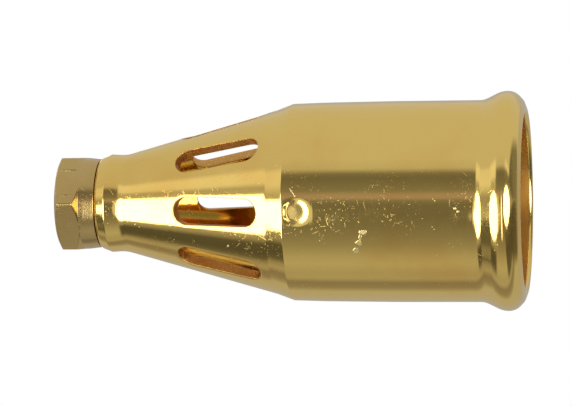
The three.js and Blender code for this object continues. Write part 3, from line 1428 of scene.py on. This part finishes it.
SOLDER_RING = washer((10.72, 11.58), (9.72, 10.58), (0.08, 0.25), SOLDER, 0.2)
INLET_GASKET = washer((7.5, 8.7), (7.0, 9.1), (0.2, 0.2), FIBRE, 0.4)
JET_WASHER = washer((7.9, 8.7), (4.75, 6.4), (0.12, 0.15), COPPER, 0.3)
FILTER_RING = washer((4.9, 5.8), (2.4, 3.3), (0.12, 0.15), STEEL, 0.3)
JET_CARRIER = Turned(
    (
        (4.4, 3.6, 0.1),
        (4.4, 5.75, 0.15),
        (4.85, 6.5, 0.15),
        (7.6, 6.5, 0.1),
        (7.6, 4.45, 0.12),
        (14.4, 4.45, 0.15),
        (15.0, 3.9, 0.15),
        (15.0, 2.4, 0.15),
        (9.4, 2.4, 0.1),
        (9.4, 1.8, 0.1),
        (7.0, 1.8, 0.1),
        (7.0, 3.6, 0.1),
    ),
    TURNED,
    flats=11.0,
    span=(4.3, 7.62),
    columns=240,
    step=0.25,
)
JET_NOZZLE = Turned(
    (
        (9.7, 1.2, 0.05),
        (9.7, 1.95, 0.1),
        (9.9, 2.1, 0.1),
        (15.3, 2.1, 0.08),
        (15.3, 3.6, 0.12),
        (18.3, 3.6, 0.12),
        (18.3, 2.5, 0.15),
        (21.5, 2.5, 0.3),
        (24.5, 1.6, 0.25),
        (24.5, 0.4, 0.08),
        (22.5, 0.4, 0.1),
        (21.0, 1.2, 0.2),
    ),
    TURNED,
    flats=6.0,
    span=(15.2, 18.32),
    columns=216,
    step=0.25,
)
STABILISER_TUBE = Turned(
    (
        (60.4, 15.8, 0.15),
        (60.4, 16.8, 0.2),
        (61.2, 16.8, 0.3),
        (62.8, 15.2, 0.4),
        (82.0, 15.2, 0.35),
        (82.0, 14.1, 0.35),
        (77.1, 14.1, 0.08),
        (77.1, 13.4, 0.15),
        (75.8, 13.4, 0.2),
        (75.0, 14.1, 0.3),
        (63.0, 14.1, 0.4),
    ),
    HOT,
    columns=288,
    step=0.8,
)
STABILISER_RING = Perforated(
    ((69.0, 20.8, 0.0), (69.0, 22.6, 0.2), (67.8, 22.6, 0.1), (67.8, 21.4, 0.2), (63.7, 21.4, 0.2))
    + ((63.7, 22.6, 0.1), (63.5, 22.6, 0.05), (62.95, 20.85, 0.0), (62.9, 20.8, 0.0)),
    ((62.9, 16.4, 0.0), (62.9, 15.5, 0.25), (69.0, 15.5, 0.25), (69.0, 16.4, 0.0)),
    (HoleCircle(12, 18.7, 1.7, 16.4, 20.8, 15.0),),
    HOT,
    columns=288,
    edge=0.2,
)
FLAME_GRID = Perforated(
    ((78.6, 13.2, 0.0), (78.6, 13.8, 0.15), (77.4, 13.8, 0.15), (77.4, 13.2, 0.0)),
    ((77.4, 4.2, 0.0), (77.4, 2.6, 0.15), (78.6, 2.6, 0.15), (78.6, 4.2, 0.0)),
    (HoleCircle(8, 6.4, 1.5, 4.2, 8.6, 0.0), HoleCircle(14, 10.9, 1.5, 8.6, 13.2, 0.0)),
    HOT,
    columns=224,
    edge=0.15,
)
FILTER_GAUZE = Perforated(
    ((6.7, 2.8, 0.0), (6.7, 3.3, 0.1), (6.1, 3.3, 0.1), (6.1, 2.8, 0.0)),
    ((6.1, 1.0, 0.0), (6.1, 0.5, 0.08), (6.7, 0.5, 0.08), (6.7, 1.0, 0.0)),
    (HoleCircle(6, 1.9, 0.5, 1.0, 2.8, 0.0),),
    STEEL,
    columns=96,
    edge=0.06,
)


# --------------------------------------------------------------------------------------------------------
# Studio
# --------------------------------------------------------------------------------------------------------


# Elevations from the camera's axis go from -HIGHEST to HIGHEST: half a turn, and the camera's own elevation.
HIGHEST = 187.0


@dataclass(frozen=True)
class Zone:
    """What the room looks like in one range of azimuths.

    Attributes:
        low: azimuth where the zone starts to take over, in degrees from -Y towards +X.
        high: azimuth where it has taken over.
        bands: (elevation about X in degrees, measured from the camera's axis; red, green, blue) from
            behind and below (-180) over the front (0) to behind and above (180).
    """

    low: float
    high: float
    bands: tuple[tuple[float, float, float, float], ...]

    def colour(self, w: Nodes, share: bpy.types.NodeSocket) -> bpy.types.NodeSocket:
        """Gives the zone's colour at an elevation.

        Args:
            w: the world's nodes.
            share: elevation mapped from -HIGHEST..HIGHEST to 0..1.

        Returns:
            The colour.
        """
        made = w.node("ShaderNodeValToRGB")
        w.put(made.inputs[0], share)
        elements = made.color_ramp.elements
        elements.remove(elements[1])
        for k, (elevation, *colour) in enumerate(self.bands):
            place = (elevation + HIGHEST) / (2.0 * HIGHEST)
            element = elements[0] if k == 0 else elements.new(place)
            element.position = place
            element.color = (*colour, 1.0)
        return made.outputs[0]

    def weight(self, w: Nodes, azimuth: bpy.types.NodeSocket) -> bpy.types.NodeSocket:
        """Finds how far the zone has taken over.

        Args:
            w: the world's nodes.
            azimuth: in degrees.

        Returns:
            0 on the near side of low, and 1 past high.
        """
        if self.high > self.low:
            return w.ramp(azimuth, self.low, self.high)
        return w.ramp(azimuth, self.high, self.low, 1.0, 0.0)


def grey(elevation: float, value: float) -> tuple[float, float, float, float]:
    """Neutral band of a zone."""
    return (elevation, value, value, value)


BELOW = (
    (grey(-180, 0.45), grey(-162, 0.45), grey(-146, 0.48), grey(-127, 0.50), grey(-117, 0.30))
    + ((-107, 0.27, 0.25, 0.28), grey(-99, 0.44))
)
ABOVE = (grey(50, 0.63), grey(90, 0.63), grey(127, 0.63), grey(150, 0.62), grey(160, 0.5), grey(180, 0.45))

MIDDLE = Zone(
    0.0,
    0.0,
    BELOW
    + (grey(-90, 0.43), grey(-76, 0.50), grey(-66, 0.45), grey(-51, 0.32), grey(-40, 0.26), grey(-28, 0.21))
    + (grey(-16, 0.175), grey(-4, 0.18), (1, 0.24, 0.23, 0.23), (4, 0.42, 0.36, 0.42), (8, 0.40, 0.34, 0.38))
    + (grey(12, 0.25), grey(17, 0.22), grey(27, 0.175), grey(32, 0.22), grey(38, 0.57))
    + ABOVE,
)
LEFT = Zone(
    -21.0,
    -30.0,
    BELOW
    + (grey(-91, 0.34), grey(-84, 0.14), grey(-75, 0.10), grey(-62, 0.11), grey(-54, 0.35), grey(-45, 0.45))
    + (grey(7, 0.45), grey(15, 0.50), grey(21, 0.48), grey(28, 0.86), grey(42, 0.9))
    + ABOVE,
)
RIGHT = Zone(
    20.0,
    28.0,
    BELOW
    + (grey(-90, 0.15), grey(-60, 0.10), grey(-36, 0.14), grey(-15, 0.35), grey(8, 0.35))
    + (grey(22, 0.2), grey(33, 0.25), grey(40, 0.85))
    + ABOVE,
)
FAR_LEFT = Zone(
    -44.5,
    -49.5,
    BELOW
    + (grey(-93, 0.85), grey(-85, 0.8), grey(-74, 0.35), grey(-62, 0.14), grey(-30, 0.13), grey(-12, 0.34))
    + (grey(5, 0.38), grey(14, 0.6), grey(24, 0.85), grey(45, 0.8))
    + ABOVE,
)
FAR_RIGHT = Zone(
    50.0,
    62.0,
    (grey(-180, 0.30), grey(-140, 0.20), grey(-110, 0.12), grey(-80, 0.10), grey(-30, 0.12), grey(-8, 0.4))
    + (grey(5, 0.4), grey(30, 0.16), grey(60, 0.16), grey(90, 0.2), grey(140, 0.26), grey(180, 0.30)),
)


@dataclass(frozen=True)
class SoftBox:
    """Elliptical soft light.

    Attributes:
        azimuth: of its middle, in degrees from -Y towards +X.
        elevation: of its middle about X, in degrees from the camera's axis.
        half_width: in degrees of azimuth.
        half_height: in degrees of elevation.
        value: its brightness.
    """

    azimuth: float
    elevation: float
    half_width: float
    half_height: float
    value: float

    def weight(
        self, w: Nodes, azimuth: bpy.types.NodeSocket, raised: bpy.types.NodeSocket
    ) -> bpy.types.NodeSocket:
        """Finds where the light is.

        Args:
            w: the world's nodes.
            azimuth: in degrees.
            raised: elevation from the camera's axis, in degrees.

        Returns:
            1 inside the ellipse and 0 outside, with a soft border.
        """
        across = w.math("DIVIDE", w.math("SUBTRACT", azimuth, self.azimuth), self.half_width)
        along = w.math("DIVIDE", w.math("SUBTRACT", raised, self.elevation), self.half_height)
        square = w.math("ADD", w.math("MULTIPLY", across, across), w.math("MULTIPLY", along, along))
        return w.ramp(square, 0.85, 1.12, 1.0, 0.0)


@dataclass
class Studio:
    """Camera, floor and light.

    Attributes:
        azimuth: camera's turn from -Y towards +X, in degrees.
        elevation: camera's height above the horizon, in degrees.
        distance: from the camera to its target, in metres.
        lens: focal length, in mm.
        roll: camera's turn about its own axis, in degrees.
        target: what the camera looks at, in metres.
        floor_z: the floor's height, in metres.
        zones: how the room looks in each range of azimuths.
        boxes: the soft lights.
    """

    azimuth: float = 8.6
    elevation: float = 7.0
    distance: float = 0.786
    lens: float = 189.0
    roll: float = -1.38
    target: tuple[float, float, float] = (0.0595, 0.0, -0.00022)
    floor_z: float = -0.30
    zones: tuple[Zone, ...] = (LEFT, RIGHT, FAR_LEFT, FAR_RIGHT)
    boxes: tuple[SoftBox, ...] = (
        SoftBox(-24.0, -14.0, 14.0, 22.0, 0.75),
        SoftBox(-37.0, -18.0, 18.0, 29.0, 5.2),
        SoftBox(4.8, -18.0, 3.2, 24.0, 2.4),
        SoftBox(41.0, -6.0, 23.0, 24.0, 5.0),
        SoftBox(-36.0, 172.0, 24.0, 13.0, 1.3),
    )

    def camera(self) -> None:
        """Makes the camera."""
        data = bpy.data.cameras.new("camera")
        data.lens = self.lens
        data.sensor_width = 36.0
        data.clip_start, data.clip_end = 0.01, 50.0
        cam = bpy.data.objects.new("camera", data)
        bpy.context.scene.collection.objects.link(cam)
        a, e = math.radians(self.azimuth), math.radians(self.elevation)
        back = Vector((math.sin(a) * math.cos(e), -math.cos(a) * math.cos(e), math.sin(e)))
        cam.rotation_mode = "QUATERNION"
        cam.location = Vector(self.target) + back * self.distance
        look = (-back).to_track_quat("-Z", "Y").to_matrix()
        cam.rotation_quaternion = (look @ Matrix.Rotation(math.radians(self.roll), 3, "Z")).to_quaternion()
        bpy.context.scene.camera = cam

    def floor(self) -> None:
        """Plain white floor, seen directly only."""
        material = bpy.data.materials.new("floor")
        material.use_nodes = True
        material.node_tree.nodes.clear()
        nodes = Nodes(material.node_tree)
        emission = nodes.node("ShaderNodeEmission")
        emission.inputs["Color"].default_value = (1.0, 1.0, 1.0, 1.0)
        nodes.put(nodes.node("ShaderNodeOutputMaterial").inputs[0], emission.outputs[0])
        mesh = bpy.data.meshes.new("floor")
        far = 6.0
        corners = [(-far, -far, 0), (far, -far, 0), (far, far, 0), (-far, far, 0)]
        mesh.from_pydata(corners, [], [(0, 1, 2, 3)])
        mesh.materials.append(material)
        obj = bpy.data.objects.new("floor", mesh)
        bpy.context.scene.collection.objects.link(obj)
        obj.location.z = self.floor_z
        obj.visible_glossy = obj.visible_diffuse = obj.visible_transmission = obj.visible_shadow = False

    def world(self) -> None:
        """Room of soft light: white to the camera, and the zones to everything else."""
        world = bpy.data.worlds.new("world")
        bpy.context.scene.world = world
        world.use_nodes = True
        w = Nodes(world.node_tree)
        split = w.node("ShaderNodeSeparateXYZ")
        w.put(split.inputs[0], w.node("ShaderNodeTexCoord").outputs["Generated"])
        azimuth = w.math("DEGREES", w.math("ARCSINE", split.outputs[0]))
        around = w.math("ARCTAN2", split.outputs[2], w.math("MULTIPLY", split.outputs[1], -1.0))
        raised = w.math("SUBTRACT", w.math("DEGREES", around), self.elevation)
        share = w.math("DIVIDE", w.math("ADD", raised, HIGHEST), 2.0 * HIGHEST)
        total = MIDDLE.colour(w, share)
        for zone in self.zones:
            total = w.mix(zone.weight(w, azimuth), total, zone.colour(w, share))
        for box in self.boxes:
            light = (box.value, box.value, box.value * 0.97, 1.0)
            total = w.mix(box.weight(w, azimuth, raised), total, light)
        room = w.tree.nodes["Background"]
        w.put(room.inputs["Color"], total)
        white = w.node("ShaderNodeBackground")
        white.inputs["Color"].default_value = (1.0, 1.0, 1.0, 1.0)
        choose = w.node("ShaderNodeMixShader")
        w.put(choose.inputs[0], w.node("ShaderNodeLightPath").outputs["Is Camera Ray"])
        w.put(choose.inputs[1], room.outputs[0])
        w.put(choose.inputs[2], white.outputs[0])
        w.put(w.tree.nodes["World Output"].inputs[0], choose.outputs[0])

    def build(self) -> None:
        """Builds the whole studio."""
        self.world()
        self.camera()
        self.floor()
        view = bpy.context.scene.view_settings
        view.view_transform = "Standard"
        view.look = "None"


@dataclass(frozen=True)
class Placed:
    """A piece with the node it replaces, the body it moves with and its material slot, which is not used."""

    piece: Piece
    node: str
    body: str
    slot: str


PIECES = (
    Placed(BurnerBody(), "burner_body", "burner", "polished_brass"),
    Placed(InletSocket(), "inlet_socket", "burner", "turned_brass"),
    Placed(SOLDER_RING, "solder_ring", "burner", "solder"),
    Placed(INLET_GASKET, "inlet_gasket", "burner", "fibre"),
    Placed(JET_CARRIER, "jet_carrier", "jet", "turned_brass"),
    Placed(JET_WASHER, "jet_washer", "washer", "copper"),
    Placed(JET_NOZZLE, "jet_nozzle", "jet", "turned_brass"),
    Placed(FILTER_GAUZE, "filter_gauze", "jet", "steel"),
    Placed(FILTER_RING, "filter_ring", "jet", "steel"),
    Placed(STABILISER_RING, "stabiliser_ring", "burner", "heat_tinted_brass"),
    Placed(STABILISER_TUBE, "stabiliser_tube", "burner", "heat_tinted_brass"),
    Placed(FLAME_GRID, "flame_grid", "burner", "heat_tinted_brass"),
)


def main() -> None:
    """Builds the studio and every piece."""
    logging.basicConfig(level=logging.INFO, format="%(message)s")
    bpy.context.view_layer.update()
    Studio().build()
    for placed in PIECES:
        obj = placed.piece.build(placed.node)
        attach(obj, placed.body)
        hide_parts(placed.node)


if __name__ == "__main__":
    main()
